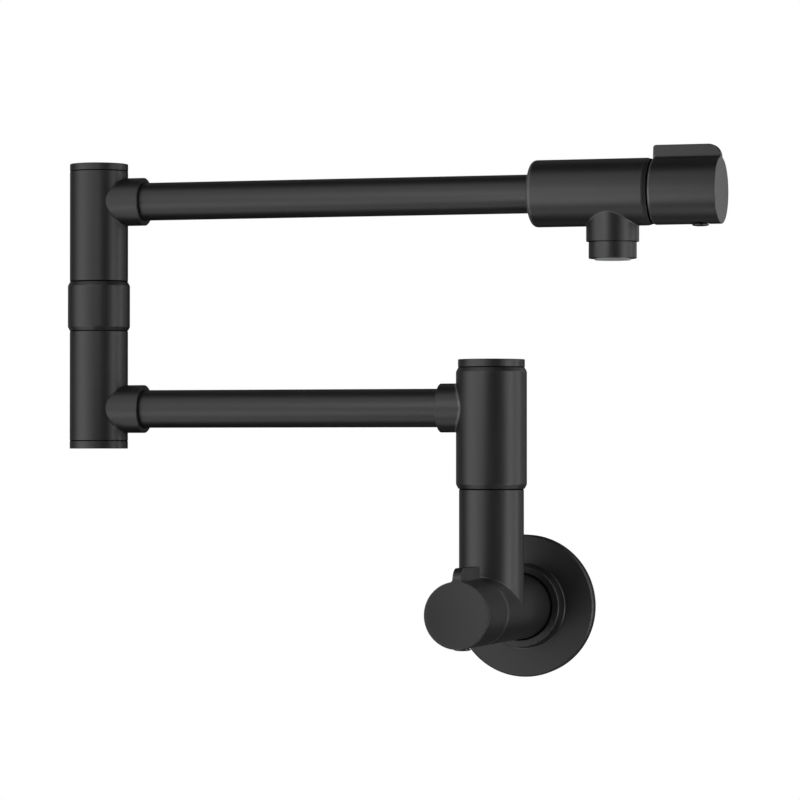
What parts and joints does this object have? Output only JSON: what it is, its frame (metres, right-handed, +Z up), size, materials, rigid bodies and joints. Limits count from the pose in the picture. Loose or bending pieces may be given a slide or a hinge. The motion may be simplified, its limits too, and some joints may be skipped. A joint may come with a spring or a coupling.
{
  "type": "wall mounted pot filler",
  "caption": "Wall mounted pot filler tap with a shut-off at the wall flange, a double-jointed folding arm and a shut-off with a downward aerated nozzle at its end.",
  "frame": {"origin": "centre of the wall flange, on the wall face", "axes": "+Y into the wall, +X along the folded arm from the elbow towards the spout handle, +Z up"},
  "size_m": [0.3436, 0.1568, 0.2675],
  "materials": {
    "black_coat": "matt black powder coat on brass, fine even grain",
    "brass": "machined, bare",
    "steel": "stainless, plain",
    "rubber": "moulded nitrile rubber, matt",
    "acetal": "natural acetal, turned",
    "ceramic": "white alumina, lapped flat",
    "grey_plastic": "moulded grey plastic"
  },
  "bodies": {
    "wall_valve": {"wall_flange": "black_coat", "flange_gasket": "rubber", "flange_o_ring": "rubber", "inlet_nipple": "brass", "inlet_washer": "rubber", "valve_body": "black_coat", "wall_trim_ring": "black_coat", "wall_cartridge_body": "brass", "wall_cartridge_o_ring": "rubber", "wall_fixed_disc": "ceramic", "wall_seat_seal": "rubber", "shoulder_spindle": "brass", "shoulder_thrust_washer": "acetal", "shoulder_lower_o_ring": "rubber", "shoulder_upper_o_ring": "rubber", "shoulder_upper_washer": "acetal", "shoulder_nut": "brass"},
    "wall_handle": {"wall_handle": "black_coat", "wall_handle_plug": "black_coat", "wall_handle_screw": "steel", "wall_stem_adapter": "brass", "wall_stem": "brass", "wall_moving_disc": "ceramic"},
    "lower_arm": {"shoulder_hub": "black_coat", "shoulder_cap": "black_coat", "lower_arm_tube": "black_coat", "elbow_lower_fitting": "black_coat", "elbow_bottom_cap": "black_coat", "elbow_sleeve": "black_coat", "elbow_spindle": "brass", "elbow_thrust_washer": "acetal", "elbow_lower_o_ring": "rubber", "elbow_upper_o_ring": "rubber", "elbow_upper_washer": "acetal", "elbow_nut": "brass"},
    "upper_arm": {"elbow_upper_fitting": "black_coat", "elbow_top_cap": "black_coat", "upper_arm_tube": "black_coat", "spout_body": "black_coat", "spout_trim_ring": "black_coat", "spout_cartridge_body": "brass", "spout_cartridge_o_ring": "rubber", "spout_fixed_disc": "ceramic", "spout_seat_seal": "rubber", "aerator_housing": "black_coat", "aerator_insert": "grey_plastic", "aerator_washer": "rubber"},
    "spout_handle": {"spout_handle": "black_coat", "spout_handle_plug": "black_coat", "spout_handle_screw": "steel", "spout_stem_adapter": "brass", "spout_stem": "brass", "spout_moving_disc": "ceramic"}
  },
  "joints": [
    {"name": "wall_handle_turn", "type": "hinge", "parent": "wall_valve", "child": "wall_handle", "pos_m": [0, -0.0987, 0], "axis": [0, -1, 0], "range_deg": [0, 90]},
    {"name": "shoulder_swivel", "type": "hinge", "parent": "wall_valve", "child": "lower_arm", "pos_m": [0, -0.06927, 0.0605], "axis": [0, 0, 1], "range_deg": [-14, 194]},
    {"name": "elbow_swivel", "type": "hinge", "parent": "lower_arm", "child": "upper_arm", "pos_m": [-0.21025, -0.06927, 0.1672], "axis": [0, 0, 1], "continuous": true},
    {"name": "spout_handle_turn", "type": "hinge", "parent": "upper_arm", "child": "spout_handle", "pos_m": [0.08335, -0.06927, 0.20795], "axis": [1, 0, 0], "range_deg": [0, 90]}
  ]
}
